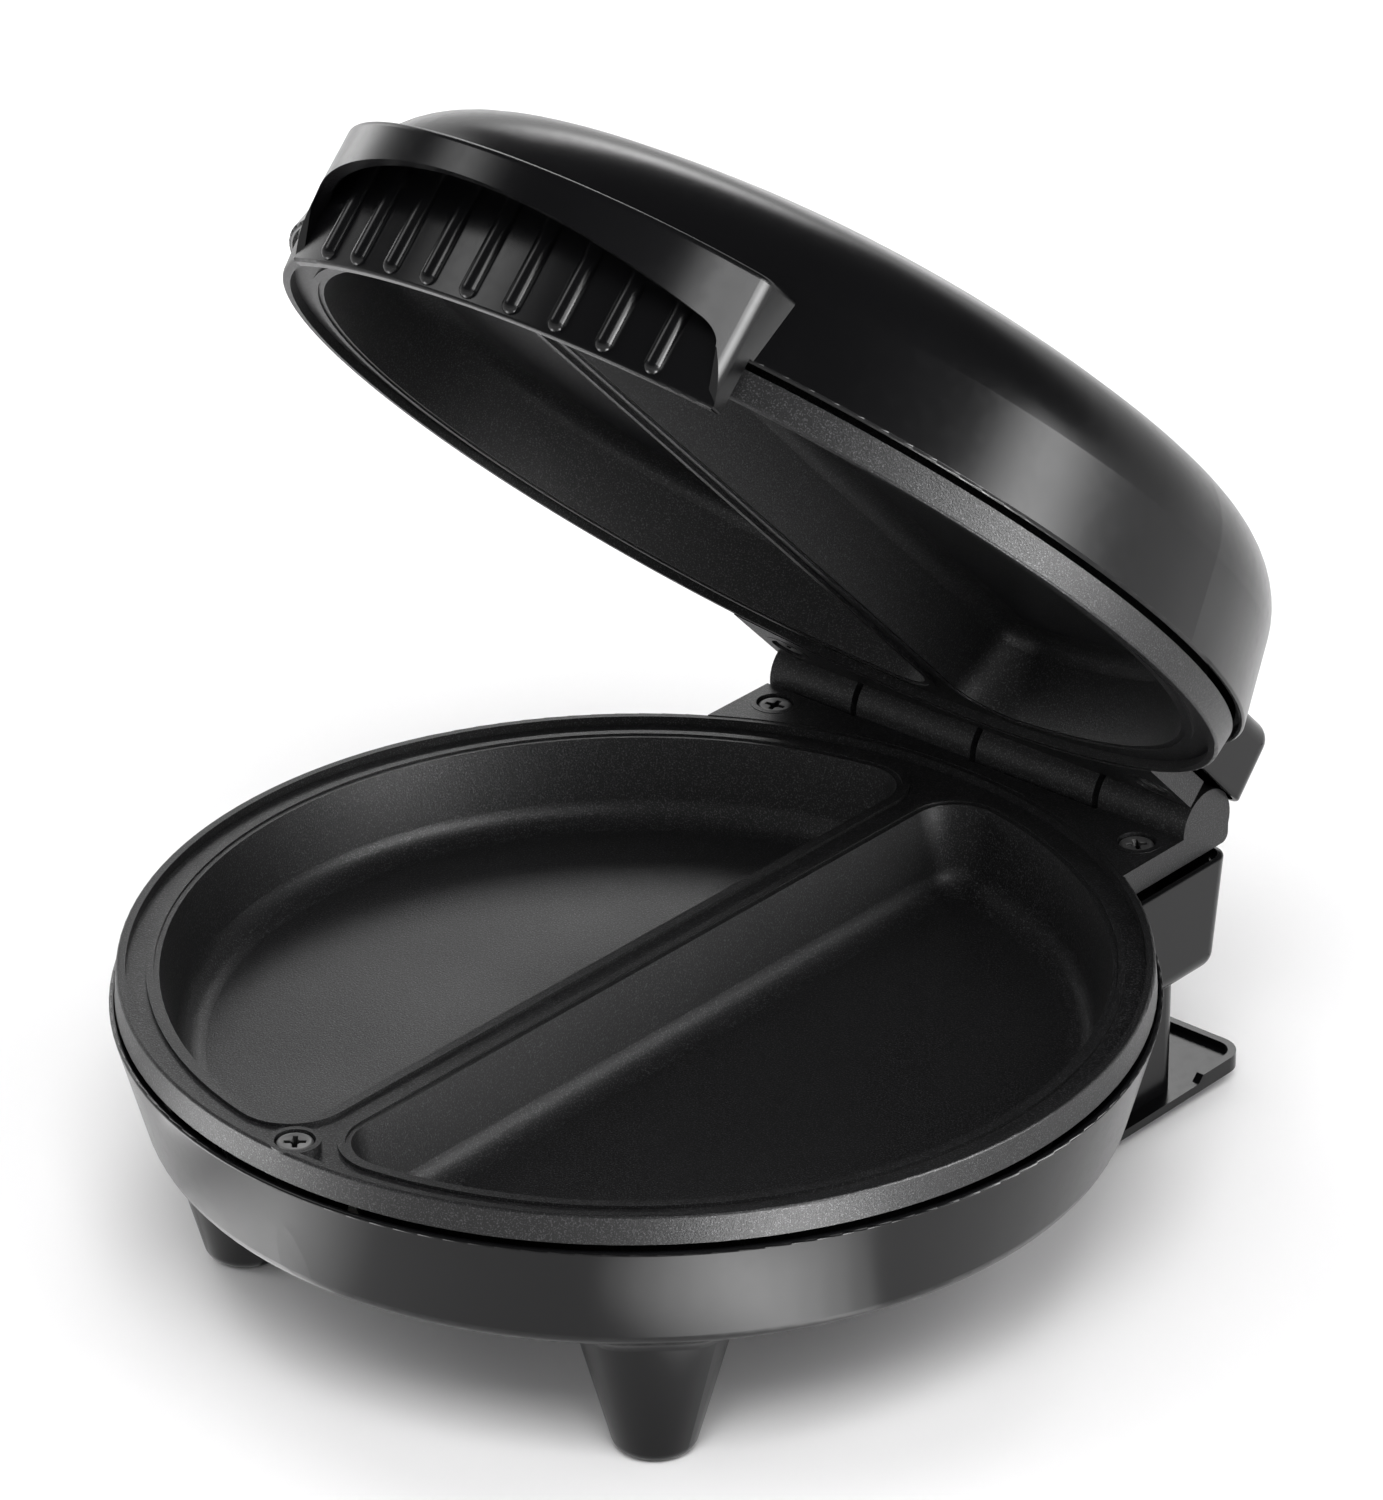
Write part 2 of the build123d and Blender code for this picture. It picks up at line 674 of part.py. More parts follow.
def under_lip():
    """Space below the hood's lower edge: an arch in front, a slope along the cheeks."""
    arch = Pos(0, arch_height - arch_radius) * Circle(arch_radius)
    arch &= Pos(0, arch_height / 2) * Rectangle(2 * arch_half_width, arch_height)
    arch = fillet(arch.vertices().sort_by(Axis.Y)[-2:], arch_corner)
    toe_y = -math.sqrt(ribbed_wall_radius ** 2 - handle_half_width ** 2)
    brow_y = toe_y - cheek_rise / math.tan(math.radians(cheek_slope))
    brow_z = cheek_toe_height + cheek_rise
    cheek = Polyline(
        (0, 0), (0, cheek_toe_height), (toe_y, cheek_toe_height), (brow_y, brow_z), (-far, brow_z), (-far, 0),
        close=True,
    )
    space = extrude(Plane.YZ.offset(-far / 2) * make_face(cheek), amount=far)
    return space + extrude(Plane.XZ * arch, amount=far)


def rib(angle):
    """One slender upright rib of the handle wall, its foot rounded."""
    bead = Cylinder(rib_radius, far) & Pos(0, 0, far / 2) * Box(far, far, far)
    bead += Sphere(rib_radius)
    return Rot(0, 0, angle) * Pos(ribbed_wall_radius - rib_sink, 0, rib_foot + rib_radius) * bead


def handle():
    """Hood, cheeks and ribbed wall in one moulding, lid closed."""
    hood = extrude(hood_plan(0), amount=far) & under_roof(0)
    top = hood.faces().sort_by(Axis.Z)[-1]
    hood = fillet(top.edges().sort_by(Axis.Y)[:-1], handle_edge_round)
    hood -= under_lip()
    hood -= extrude(hood_plan(handle_skin), amount=far) & under_roof(handle_skin)
    wall = post(ribbed_wall_radius, ribbed_wall_foot, far) - post(ribbed_wall_inner, 0, far)
    wall &= block((-handle_half_width, handle_half_width), (-far, 0), (0, far))
    wall = fillet(wall.edges().group_by(Axis.Z)[0], handle_edge_round / 2)
    for number in range(rib_count):
        wall += rib(-90 + (number - (rib_count - 1) / 2) * rib_pitch)
    body = hood + (wall & under_roof(handle_skin / 2))
    body -= post(ribbed_wall_inner, 0, lid_bottom + handle_gap) + lid_dome(handle_gap)
    for frame in handle_screw_frames():
        body -= frame * radial_post(handle_pad_radius + handle_gap, 0, handle_pad_face)
        body += frame * radial_post(handle_pad_radius, handle_pad_face, handle_boss_end)
        screw_end = handle_pad_face - handle_pad_depth + handle_screw_length
        body -= frame * radial_post(screw_shank_radius + screw_hole_gap, 0, screw_end)
    return body


# ------------------------------------------------------------------ heating parts
def heating_element():
    """Tubular loop under the lower plate with a cold pin at each end."""
    angle = math.radians(element_opening)
    x, y = element_loop * math.sin(angle), element_loop * math.cos(angle)
    arc = ThreePointArc((x, y), (0, -element_loop), (-x, y))
    path = Wire([Line((x, element_tail), (x, y)), arc, Line((-x, y), (-x, element_tail))])
    bends = path.vertices().filter_by_position(Axis.Y, y - cut_over, y + cut_over)
    path = Pos(0, 0, element_z) * path.fillet_2d(element_bend, bends)
    tube = sweep(Plane(path @ 0, z_dir=path % 0) * Circle(element_radius), path=path)
    for side in (1, -1):
        pin = Pos(side * x, element_tail + stud_length / 2, element_z) * Rot(90, 0, 0)
        tube += pin * Cylinder(stud_radius, stud_length)
    return tube


def element_beads():
    """Insulating collars on the two cold pins."""
    x = element_loop * math.sin(math.radians(element_opening))
    ring = Cylinder(bead_radius, bead_length) - Cylinder(stud_radius + bead_gap, bead_length)
    y = element_tail + bead_length / 2
    return [Pos(side * x, y, element_z) * Rot(90, 0, 0) * ring for side in (1, -1)]


def heat_shield():
    """Thin reflector below the element: rim turned up, notched behind, dimpled at its screws."""
    top = shield_z + shield_thickness
    dish = post(shield_radius, shield_z, shield_z + shield_rim)
    dish -= post(shield_radius - shield_thickness, top, shield_z + shield_rim)
    half = shield_notch_width / 2
    dish -= block((-half, half), (shield_notch_y, far), (0, far))
    for side in (1, -1):
        y = side * post_y
        dish += post(shield_dimple_radius, shield_z, shield_seat + shield_thickness, 0, y)
        dish -= post(shield_dimple_radius - shield_thickness, 0, shield_seat, 0, y)
        dish -= post(screw_shank_radius + screw_hole_gap, 0, far, 0, y)
    return dish


def shield_screws():
    """Two screws that hold the lower shield to the plate posts."""
    place = [Pos(0, side * post_y, shield_seat) * Rot(180, 0, 0) for side in (1, -1)]
    return [spot * screw(screw_head_radius, shield_screw_length) for spot in place]


def thermostat():
    """Disc thermostat held against its pad on the lower plate."""
    bottom = well_underside - thermostat_height
    body = post(thermostat_radius, bottom, well_underside, 0, thermostat_y)
    cap = post(thermostat_cap_radius, bottom - thermostat_cap_height, bottom, 0, thermostat_y)
    body += fillet(cap.edges().group_by(Axis.Z)[0], thermostat_cap_height / 2)
    for side in (1, -1):
        body -= tab(side)
    return body


def tab(side):
    """One connecting blade of the thermostat."""
    inner, outer = thermostat_radius - tab_seat, thermostat_radius + tab_length
    middle = side * (inner + outer) / 2
    size = Box(outer - inner, tab_width, tab_thickness)
    return Pos(middle, thermostat_y, well_underside - thermostat_height / 2) * size


def thermal_fuse():
    """Round fuse body lying along Y below its pad, with a lead out of each end."""
    case = Pos(0, fuse_y, fuse_z) * Rot(90, 0, 0) * Cylinder(fuse_radius, fuse_length)
    case = fillet(case.edges(), fuse_round)
    return case + Pos(0, fuse_y, fuse_z) * Rot(90, 0, 0) * Cylinder(fuse_lead_radius, fuse_lead_span)


def fuse_strap():
    """Thin strap that hugs the fuse and lies flat on the pad at both sides."""
    inner, outer = fuse_radius + fuse_gap, fuse_radius + fuse_gap + strap_thickness
    drop = well_underside - fuse_z
    profile = Circle(outer) + Pos(0, drop / 2) * Rectangle(2 * outer, drop)
    profile += Pos(0, drop - strap_thickness / 2) * Rectangle(2 * (outer + strap_foot), strap_thickness)
    profile -= Circle(inner) + Pos(0, far / 2) * Rectangle(2 * inner, far)
    profile -= Pos(0, drop + far / 2) * Rectangle(far, far)
    ahead = Plane(origin=(0, fuse_y + strap_width / 2, fuse_z), x_dir=(1, 0, 0), z_dir=(0, -1, 0))
    return extrude(ahead * profile, amount=strap_width)


# ------------------------------------------------------------------ wiring and lamps
def terminal_places():
    """X positions of the two ways of the terminal block."""
    return [-lead_pitch, lead_pitch]


def terminal_block():
    """Two-way block on the floor of the rear box, wired from the front."""
    half, depth = block_length / 2, block_depth / 2
    top = block_floor + block_height
    body = block((-half, half), (block_y - depth, block_y + depth), (block_floor, top))
    body = chamfer(body.edges().group_by(Axis.Z)[-1], block_round)
    for x in terminal_places():
        hole = Pos(x, block_y, lead_entry_height) * Rot(90, 0, 0)
        body -= hole * Cylinder(lead_radius + block_hole_gap, 2 * block_depth)
        body -= post(clamp_radius + clamp_gap, top - clamp_depth, far, x, block_y)
    return body


def terminal_screws():
    """Slotted clamp screws of the terminal block."""
    top = block_floor + block_height
    screws = []
    for x in terminal_places():
        body = post(clamp_radius, top - clamp_depth, top - clamp_gap, x, block_y)
        screws.append(body - Pos(x, block_y, top) * Box(far, clamp_slot, clamp_depth / 2))
    return screws


def internal_leads():
    """Two insulated leads from the gland up through the floor slot to the block."""
    end_y = block_y - block_depth / 2 + lead_entry_depth
    lead_start = winder_rear - winder_wall - gland_tail - lead_bore_gap
    leads = []
    for side in (1, -1):
        inner, outer = side * lead_bore_offset, side * lead_pitch
        points = [
            (inner, lead_start, gland_height),
            (inner, lead_fan_y, gland_height),
            (outer, lead_run_y, gland_height),
            (outer, lead_run_y, lead_entry_height),
            (outer, end_y, lead_entry_height),
        ]
        leads.append(swept_wire(points, lead_bend, lead_radius))
    return leads


def gland_tube(radius, low, high):
    """Round bar on the axis of the cord gland."""
    return Pos(0, (low + high) / 2, gland_height) * Rot(90, 0, 0) * Cylinder(radius, high - low)


def cord_gland():
    """Bored bush in the rear wall of the column, flanged outside."""
    inside = winder_rear - winder_wall - gland_tail
    outside = winder_rear + gland_flange
    flange = gland_tube(gland_flange_radius, winder_rear, outside)
    flange = fillet(flange.edges().group_by(Axis.Y)[-1], gland_flange / 2)
    flange += gland_tube(gland_body_radius, inside, outside)
    return flange - gland_tube(gland_bore_radius, inside, outside)


def lamp_lens(side):
    """Clear lens flush with the lid, flanged inside; side is +1 or -1."""
    x = side * lamp_x
    lens = post(lens_radius, lens_bottom, far, x, lamp_y) & lid_dome(lens_proud)
    flange = post(lens_flange_radius, lens_flange_bottom, far, x, lamp_y)
    lens += flange & lid_dome(-housing_wall - lens_inner_gap)
    return lens - post(bulb_radius + bulb_gap, 0, bulb_top + bulb_gap, x, lamp_y)


def lamp_bulb(side):
    """Neon bulb behind a lens; side is +1 or -1."""
    bulb = post(bulb_radius, bulb_top - bulb_length, bulb_top, side * lamp_x, lamp_y)
    return fillet(bulb.edges().group_by(Axis.Z)[-1], bulb_round)


def hinge_pin():
    """Straight pin pushed in from the left up to the blind end of the bore."""
    pin = bar(pin_radius, pin_setback - hinge_half_width, blind_bore_end)
    return chamfer(pin.edges(), pin_chamfer)


def winder_screws():
    """Two screws that hold the cord winder to the base housing from below."""
    places = [Pos(side * winder_screw_x, winder_screw_y, winder_screw_seat) for side in (1, -1)]
    return [place * Rot(180, 0, 0) * screw(screw_head_radius, winder_screw_length) for place in places]


def handle_screws():
    """Two screws from inside the lid into the handle, lid closed."""
    seat = Pos(handle_pad_face - handle_pad_depth, 0, 0) * Rot(0, -90, 0)
    return [frame * seat * screw(screw_head_radius, handle_screw_length) for frame in handle_screw_frames()]


# ------------------------------------------------------------------ assembly
def grouped(shapes, turn=None):
    """One compound of separate solids, turned over for the lid when turn is given."""
    if turn is None:
        return Compound(list(shapes))
    return Compound([turn * shape for shape in shapes])


def base_parts():
    """Pieces that stay still, by node name."""
    return {
        "base_housing": base_housing(),
        "cord_winder": cord_winder(),
        "lower_plate": plate_casting(pin_seat_gap, blind_bore_end),
        "hinge_pin": hinge_pin(),
        "lower_plate_screws": grouped(plate_screws()),
        "lower_element": heating_element(),
        "lower_element_beads": grouped(element_beads()),
        "lower_shield": heat_shield(),
        "lower_shield_screws": grouped(shield_screws()),
        "thermostat": thermostat(),
        "thermostat_tabs": grouped([tab(1), tab(-1)]),
        "thermal_fuse": thermal_fuse(),
        "fuse_strap": fuse_strap(),
        "terminal_block": terminal_block(),
        "terminal_screws": grouped(terminal_screws()),
        "internal_leads": grouped(internal_leads()),
        "cord_gland": cord_gland(),
        "winder_screws": grouped(winder_screws()),
    }


def lid_parts():
    """Pieces that swing with the lid, by node name, lid closed."""
    return {
        "lid_housing": lid_housing(),
        "handle": handle(),
        "upper_plate": TURNED_OVER * plate_casting(pin_running_gap, far),
        "upper_plate_screws": grouped(plate_screws(), TURNED_OVER),
        "upper_element": TURNED_OVER * heating_element(),
        "upper_element_beads": grouped(element_beads(), TURNED_OVER),
        "upper_shield": TURNED_OVER * heat_shield(),
        "upper_shield_screws": grouped(shield_screws(), TURNED_OVER),
        "handle_screws": grouped(handle_screws()),
        "lamp_lens_right": lamp_lens(1),
        "lamp_lens_left": lamp_lens(-1),
        "lamp_bulb_right": lamp_bulb(1),
        "lamp_bulb_left": lamp_bulb(-1),
    }


def main():
    """Build every piece, set the lid to its rest pose and write the files."""
    parts = base_parts()
    for name, shape in lid_parts().items():
        parts[name] = shape.rotate(HINGE_AXIS, rest_opening)
    boxes = [shape.bounding_box() for shape in parts.values()]
    shift = -(min(box.min.Y for box in boxes) + max(box.max.Y for box in boxes)) / 2
    os.makedirs("parts", exist_ok=True)
    for name, shape in parts.items():
        export_step(Pos(0, shift, 0) * shape, f"parts/{name}.step")
    print(f"moved along y by {shift:.6f}, hinge at y {hinge_y + shift:.6f} z {hinge_z:.6f}")


main()
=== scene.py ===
"""Electric omelette maker with twin plates: its finishes, plate screws and studio."""
import logging
import math
from dataclasses import dataclass, field
from enum import Enum
from typing import Any, Callable

import bmesh
import bpy
from mathutils import Matrix, Vector


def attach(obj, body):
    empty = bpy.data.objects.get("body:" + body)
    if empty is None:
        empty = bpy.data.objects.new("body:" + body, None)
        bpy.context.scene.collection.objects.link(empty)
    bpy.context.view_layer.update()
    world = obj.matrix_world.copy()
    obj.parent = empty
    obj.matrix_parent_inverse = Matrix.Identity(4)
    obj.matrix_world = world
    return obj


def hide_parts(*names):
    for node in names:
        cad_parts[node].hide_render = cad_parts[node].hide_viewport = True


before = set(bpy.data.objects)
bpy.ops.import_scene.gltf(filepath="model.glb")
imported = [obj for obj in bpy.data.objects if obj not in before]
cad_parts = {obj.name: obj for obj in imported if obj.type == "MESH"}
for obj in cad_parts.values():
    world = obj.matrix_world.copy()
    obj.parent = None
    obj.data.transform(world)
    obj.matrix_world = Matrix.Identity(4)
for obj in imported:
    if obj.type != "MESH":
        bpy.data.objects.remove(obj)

logging.basicConfig(level=logging.INFO, format="%(message)s")
LOG = logging.getLogger("omelette_maker")

MM = 0.001
RECESS_MARK = "recess"
Colour = tuple[float, float, float, float]


# --------------------------------------------------------------------------- shader expressions
class Sock:
    """One shader socket, or a plain number or colour, that can be used in Python expressions."""

    def __init__(self, graph: "Graph", value: Any) -> None:
        """Wraps a value.

        Args:
            graph: The node graph that new nodes are added to.
            value: An output socket, a number or a tuple.
        """
        self.graph = graph
        self.value = value

    def _math(self, operation: str, *others: Any) -> "Sock":
        """Adds a Math node.

        Args:
            operation: The Math node's operation.
            others: The remaining operands.

        Returns:
            The node's result.
        """
        values = {index: other for index, other in enumerate((self, *others))}
        return self.graph.node("ShaderNodeMath", {"operation": operation}, values)

    def __add__(self, other: Any) -> "Sock":
        """self + other."""
        return self._math("ADD", other)

    def __radd__(self, other: Any) -> "Sock":
        """other + self."""
        return self._math("ADD", other)

    def __sub__(self, other: Any) -> "Sock":
        """self - other."""
        return self._math("SUBTRACT", other)

    def __rsub__(self, other: Any) -> "Sock":
        """other - self."""
        return Sock(self.graph, other)._math("SUBTRACT", self)

    def __mul__(self, other: Any) -> "Sock":
        """self * other."""
        return self._math("MULTIPLY", other)

    def __rmul__(self, other: Any) -> "Sock":
        """other * self."""
        return self._math("MULTIPLY", other)

    def ramp(self, low: float, high: float, to_low: float = 0.0, to_high: float = 1.0) -> "Sock":
        """Smooth step between two edges.

        Args:
            low: Input value that gives to_low.
            high: Input value that gives to_high.
            to_low: Result below low.
            to_high: Result above high.

        Returns:
            The stepped value.
        """
        settings = {"interpolation_type": "SMOOTHSTEP", "clamp": True}
        values = {
            "Value": self,
            "From Min": low,
            "From Max": high,
            "To Min": to_low,
            "To Max": to_high,
        }
        return self.graph.node("ShaderNodeMapRange", settings, values)


class Graph:
    """Node tree of one material or world, emptied and ready for new nodes."""

    def __init__(self, tree: bpy.types.NodeTree) -> None:
        """Clears the tree.

        Args:
            tree: The node tree to fill.
        """
        self.tree = tree
        tree.nodes.clear()

    def link(self, value: Any, socket: bpy.types.NodeSocket) -> None:
        """Feeds a number, colour or Sock into an input.

        Args:
            value: What to feed.
            socket: The input it goes to.
        """
        raw = value.value if isinstance(value, Sock) else value
        if isinstance(raw, bpy.types.NodeSocket):
            self.tree.links.new(raw, socket)
        else:
            socket.default_value = raw

    def node(
        self, kind: str, settings: dict[str, Any], values: dict[Any, Any], out: Any = 0
    ) -> Sock:
        """Adds any node: its settings first, then the values or links of its inputs.

        Args:
            kind: The node's type name.
            settings: Attributes of the node, such as a Math node's operation.
            values: Input name or index to value or Sock.
            out: Name or index of the output that is returned.

        Returns:
            The chosen output.
        """
        made = self.tree.nodes.new(kind)
        for name, value in settings.items():
            setattr(made, name, value)
        for key, value in values.items():
            self.link(value, made.inputs[key])
        return Sock(self, made.outputs[out] if made.outputs else None)

    def place(self) -> Sock:
        """Object coordinates, in metres."""
        return self.node("ShaderNodeTexCoord", {}, {}, "Object")

    def noise(self, per_metre: float, detail: float = 2.0, rough: float = 0.5) -> Sock:
        """Noise in object space.

        Args:
            per_metre: Number of cells in a metre.
            detail: Octaves.
            rough: Weight of the finer octaves.

        Returns:
            A value around 0.5.
        """
        values = {"Vector": self.place(), "Scale": per_metre, "Detail": detail, "Roughness": rough}
        return self.node("ShaderNodeTexNoise", {}, values, "Fac")

    def blend(self, factor: Any, first: Any, second: Any) -> Sock:
        """Mixes two colours.

        Args:
            factor: 0 gives first, 1 gives second.
            first: First colour.
            second: Second colour.

        Returns:
            The mixed colour.
        """
        values = {0: factor, 6: first, 7: second}
        return self.node("ShaderNodeMix", {"data_type": "RGBA"}, values, 2)

    def bump(self, height: Any, depth: float) -> Sock:
        """Bump normal from a height.

        Args:
            height: Height between 0 and 1.
            depth: Depth in metres of a height of 1.

        Returns:
            The bumped normal.
        """
        values = {"Strength": 1.0, "Distance": depth, "Height": height}
        return self.node("ShaderNodeBump", {}, values, "Normal")

    def surface(self, **values: Any) -> None:
        """Ends the graph in a Principled surface.

        Args:
            values: Socket name, with underscores for spaces, to value.
        """
        named = {name.replace("_", " "): value for name, value in values.items()}
        shader = self.node("ShaderNodeBsdfPrincipled", {}, named, "BSDF")
        self.node("ShaderNodeOutputMaterial", {}, {"Surface": shader})


def grey(level: float) -> Colour:
    """A neutral colour."""
    return (level, level, level, 1.0)


# --------------------------------------------------------------------------- finishes
@dataclass(frozen=True)
class Finish:
    """A finish that knows its name and how to make its material."""

    name: str

    def paint(self, graph: Graph) -> None:
        """Fills the graph."""
        raise NotImplementedError

    def material(self) -> bpy.types.Material:
        """The finish as a material, made once.

        Returns:
            The material.
        """
        made = bpy.data.materials.get(self.name)
        if made is None:
            made = bpy.data.materials.new(self.name)
            made.use_nodes = True
            self.paint(Graph(made.node_tree))
        return made


@dataclass(frozen=True)
class PolishedMoulding(Finish):
    """Polished black moulding: deep colour, soft gloss, faint flow ripple and handling marks."""

    colour: Colour = (0.0015, 0.0015, 0.0017, 1.0)
    haze: Colour = (0.0035, 0.0035, 0.004, 1.0)
    roughness: float = 0.20
    gloss: float = 0.22
    cloud_scale: float = 22.0
    cloud_haze: float = 0.05
    scuff_scale: float = 420.0
    scuff_edges: tuple[float, float] = (0.40, 0.80)
    scuff_haze: float = 0.03
    ripple_scale: float = 120.0
    ripple_depth: float = 0.010 * MM

    def paint(self, graph: Graph) -> None:
        """Fills the graph with the moulding's colour, gloss and ripple."""
        cloud = graph.noise(self.cloud_scale, 3.0)
        scuff = graph.noise(self.scuff_scale, 2.0).ramp(*self.scuff_edges)
        ripple = graph.noise(self.ripple_scale, 1.0)
        graph.surface(
            Base_Color=graph.blend(cloud, self.colour, self.haze),
            Roughness=self.roughness + self.cloud_haze * cloud + self.scuff_haze * scuff,
            Specular_IOR_Level=self.gloss,
            Normal=graph.bump(ripple, self.ripple_depth),
        )


@dataclass(frozen=True)
class NonStickCoat(Finish):
    """Sprayed non-stick coat over a casting: satin, with a fine sparkling grain."""

    colour: Colour = (0.006, 0.006, 0.0063, 1.0)
    fleck: Colour = (0.055, 0.055, 0.057, 1.0)
    roughness: float = 0.36
    gloss: float = 0.28
    grain_scale: float = 2300.0
    grain_sharpness: float = 0.7
    grain_share: float = 0.75
    grain_depth: float = 0.09 * MM
    swell_scale: float = 380.0
    patch_scale: float = 30.0
    patch_haze: float = 0.10
    fleck_scale: float = 3200.0
    fleck_edges: tuple[float, float] = (0.52, 0.72)
    fleck_metal: float = 0.35
    fleck_shine: float = 0.06

    def paint(self, graph: Graph) -> None:
        """Fills the graph with the coat's grain, flecks and satin gloss."""
        grain = graph.noise(self.grain_scale, 2.0, self.grain_sharpness)
        swell = graph.noise(self.swell_scale, 2.0)
        patch = graph.noise(self.patch_scale, 2.0)
        fleck = graph.noise(self.fleck_scale, 1.0).ramp(*self.fleck_edges)
        height = self.grain_share * grain + (1.0 - self.grain_share) * swell
        graph.surface(
            Base_Color=graph.blend(fleck, self.colour, self.fleck),
            Metallic=self.fleck_metal * fleck,
            Roughness=self.roughness + self.patch_haze * patch - self.fleck_shine * fleck,
            Specular_IOR_Level=self.gloss,
            Normal=graph.bump(height, self.grain_depth),
        )


@dataclass(frozen=True)
class BareMetal(Finish):
    """Plain metal with fine turning or rolling marks and a little tarnish."""

    colour: Colour = (0.55, 0.55, 0.56, 1.0)
    tarnish: Colour = (0.36, 0.35, 0.34, 1.0)
    roughness: float = 0.3
    metal: float = 1.0
    # Mesh mark whose faces get painted shade, a near-black colour standing in for the shadow in a
    # recess; empty for none.
    painted_shade_mark: str = ""
    painted_shade_colour: Colour = grey(0.004)
    patch_scale: float = 180.0
    patch_edges: tuple[float, float] = (0.4, 0.7)
    patch_haze: float = 0.15
    mark_scale: float = 2200.0
    mark_depth: float = 0.01 * MM

    def paint(self, graph: Graph) -> None:
        """Fills the graph with bright metal, duller patches and painted shade in any marked recess.
        """
        patch = graph.noise(self.patch_scale, 3.0).ramp(*self.patch_edges)
        mark = graph.noise(self.mark_scale, 1.0)
        colour = graph.blend(patch, self.colour, self.tarnish)
        # Painted shade: marked recess faces are blended to the near-black colour, standing in for
        # the shadow that falls there.
        if self.painted_shade_mark:
            depth = graph.node("ShaderNodeAttribute", {"attribute_name": self.painted_shade_mark}, {}, "Fac")
            colour = graph.blend(depth, colour, self.painted_shade_colour)
        graph.surface(
            Base_Color=colour,
            Metallic=self.metal,
            Roughness=self.roughness + self.patch_haze * patch,
            Normal=graph.bump(mark, self.mark_depth),
        )


@dataclass(frozen=True)
class MattBody(Finish):
    """Unpolished plastic, rubber or ceramic with a fine grain."""

    colour: Colour = (0.03, 0.03, 0.03, 1.0)
    shade: Colour = (0.02, 0.02, 0.02, 1.0)
    roughness: float = 0.5
    cloud_scale: float = 60.0
    grain_scale: float = 1500.0
    grain_haze: float = 0.15
    grain_depth: float = 0.03 * MM

    def paint(self, graph: Graph) -> None:
        """Fills the graph with a clouded colour and a fine grain."""
        cloud = graph.noise(self.cloud_scale, 3.0)
        grain = graph.noise(self.grain_scale, 2.0)
        graph.surface(
            Base_Color=graph.blend(cloud, self.colour, self.shade),
            Roughness=self.roughness + self.grain_haze * grain,
            Normal=graph.bump(grain, self.grain_depth),
        )


@dataclass(frozen=True)
class TintedClear(Finish):
    """Tinted clear plastic or glass of an indicator lamp."""

    colour: Colour = (0.6, 0.08, 0.05, 1.0)
    edge: Colour = grey(0.9)
    roughness: float = 0.08
    cloud_scale: float = 200.0
    cloud_share: float = 0.3
    cloud_haze: float = 0.06
    clearness: float = 0.6
    index: float = 1.49

    def paint(self, graph: Graph) -> None:
        """Fills the graph with a tinted gloss and faint flow lines."""
        cloud = graph.noise(self.cloud_scale, 2.0)
        graph.surface(
            Base_Color=graph.blend(self.cloud_share * cloud, self.colour, self.edge),
            Roughness=self.roughness + self.cloud_haze * cloud,
            Transmission_Weight=self.clearness,
            IOR=self.index,
        )


class Palette(Enum):
    """Every finish of the appliance."""

    HOUSING = PolishedMoulding("polished_black_moulding")
    PLATE = NonStickCoat("non_stick_coat")
    STEEL = BareMetal("zinc_steel")
    # The recess mark darkens each screw's cross recess with painted shade.
    DARK_SCREW = BareMetal("blackened_screw", grey(0.13), grey(0.085), 0.34, 0.45, RECESS_MARK)
    SHEATH = BareMetal("element_sheath", (0.20, 0.19, 0.18, 1.0), (0.12, 0.10, 0.09, 1.0), 0.45)
    SHEET = BareMetal("bright_sheet", grey(0.8), grey(0.6), 0.25)
    BRASS = BareMetal("brass_tab", (0.75, 0.56, 0.25, 1.0), (0.5, 0.36, 0.16, 1.0), 0.3)
    CERAMIC = MattBody("ceramic", (0.78, 0.76, 0.70, 1.0), (0.68, 0.66, 0.60, 1.0), 0.55)
    PHENOLIC = MattBody("phenolic", (0.12, 0.05, 0.025, 1.0), (0.07, 0.03, 0.015, 1.0), 0.35)
    PALE = MattBody("pale_moulding", (0.72, 0.70, 0.64, 1.0), (0.64, 0.62, 0.56, 1.0), 0.45)
    SLEEVE = MattBody("silicone_sleeve", (0.35, 0.05, 0.04, 1.0), (0.25, 0.03, 0.03, 1.0), 0.5)
    BUSH = MattBody("black_bush", (0.02, 0.02, 0.02, 1.0), (0.012, 0.012, 0.012, 1.0), 0.42)
    RED_LENS = TintedClear("red_lens", (0.62, 0.05, 0.04, 1.0))
    GREEN_LENS = TintedClear("green_lens", (0.05, 0.50, 0.12, 1.0))
    BULB = TintedClear("bulb_glass", (0.85, 0.70, 0.60, 1.0))


def dress(obj: bpy.types.Object, finish: Palette) -> None:
    """Gives an object one finish all over.

    Args:
        obj: The object to dress.
        finish: Its finish.
    """
    obj.data.materials.clear()
    obj.data.materials.append(finish.value.material())
    LOG.info("%s: %s", obj.name, finish.value.name)


# --------------------------------------------------------------------------- modelling helpers
def deselect() -> None:
    """Leaves nothing selected."""
    bpy.ops.object.select_all(action="DESELECT")


def start(obj: bpy.types.Object) -> None:
    """Selects one object alone and makes it active."""
    deselect()
    obj.select_set(True)
    bpy.context.view_layer.objects.active = obj


def pick_faces(obj: bpy.types.Object, test: Callable[[bmesh.types.BMFace], bool]) -> None:
    """Selects the faces that pass a test, in edit mode.

    Args:
        obj: The object being edited.
        test: Tells whether a face is wanted.
    """
    mesh = bmesh.from_edit_mesh(obj.data)
    for part in (*mesh.verts, *mesh.edges, *mesh.faces):
        part.select = False
    for face in mesh.faces:
        if test(face):
            face.select_set(True)
    bmesh.update_edit_mesh(obj.data)


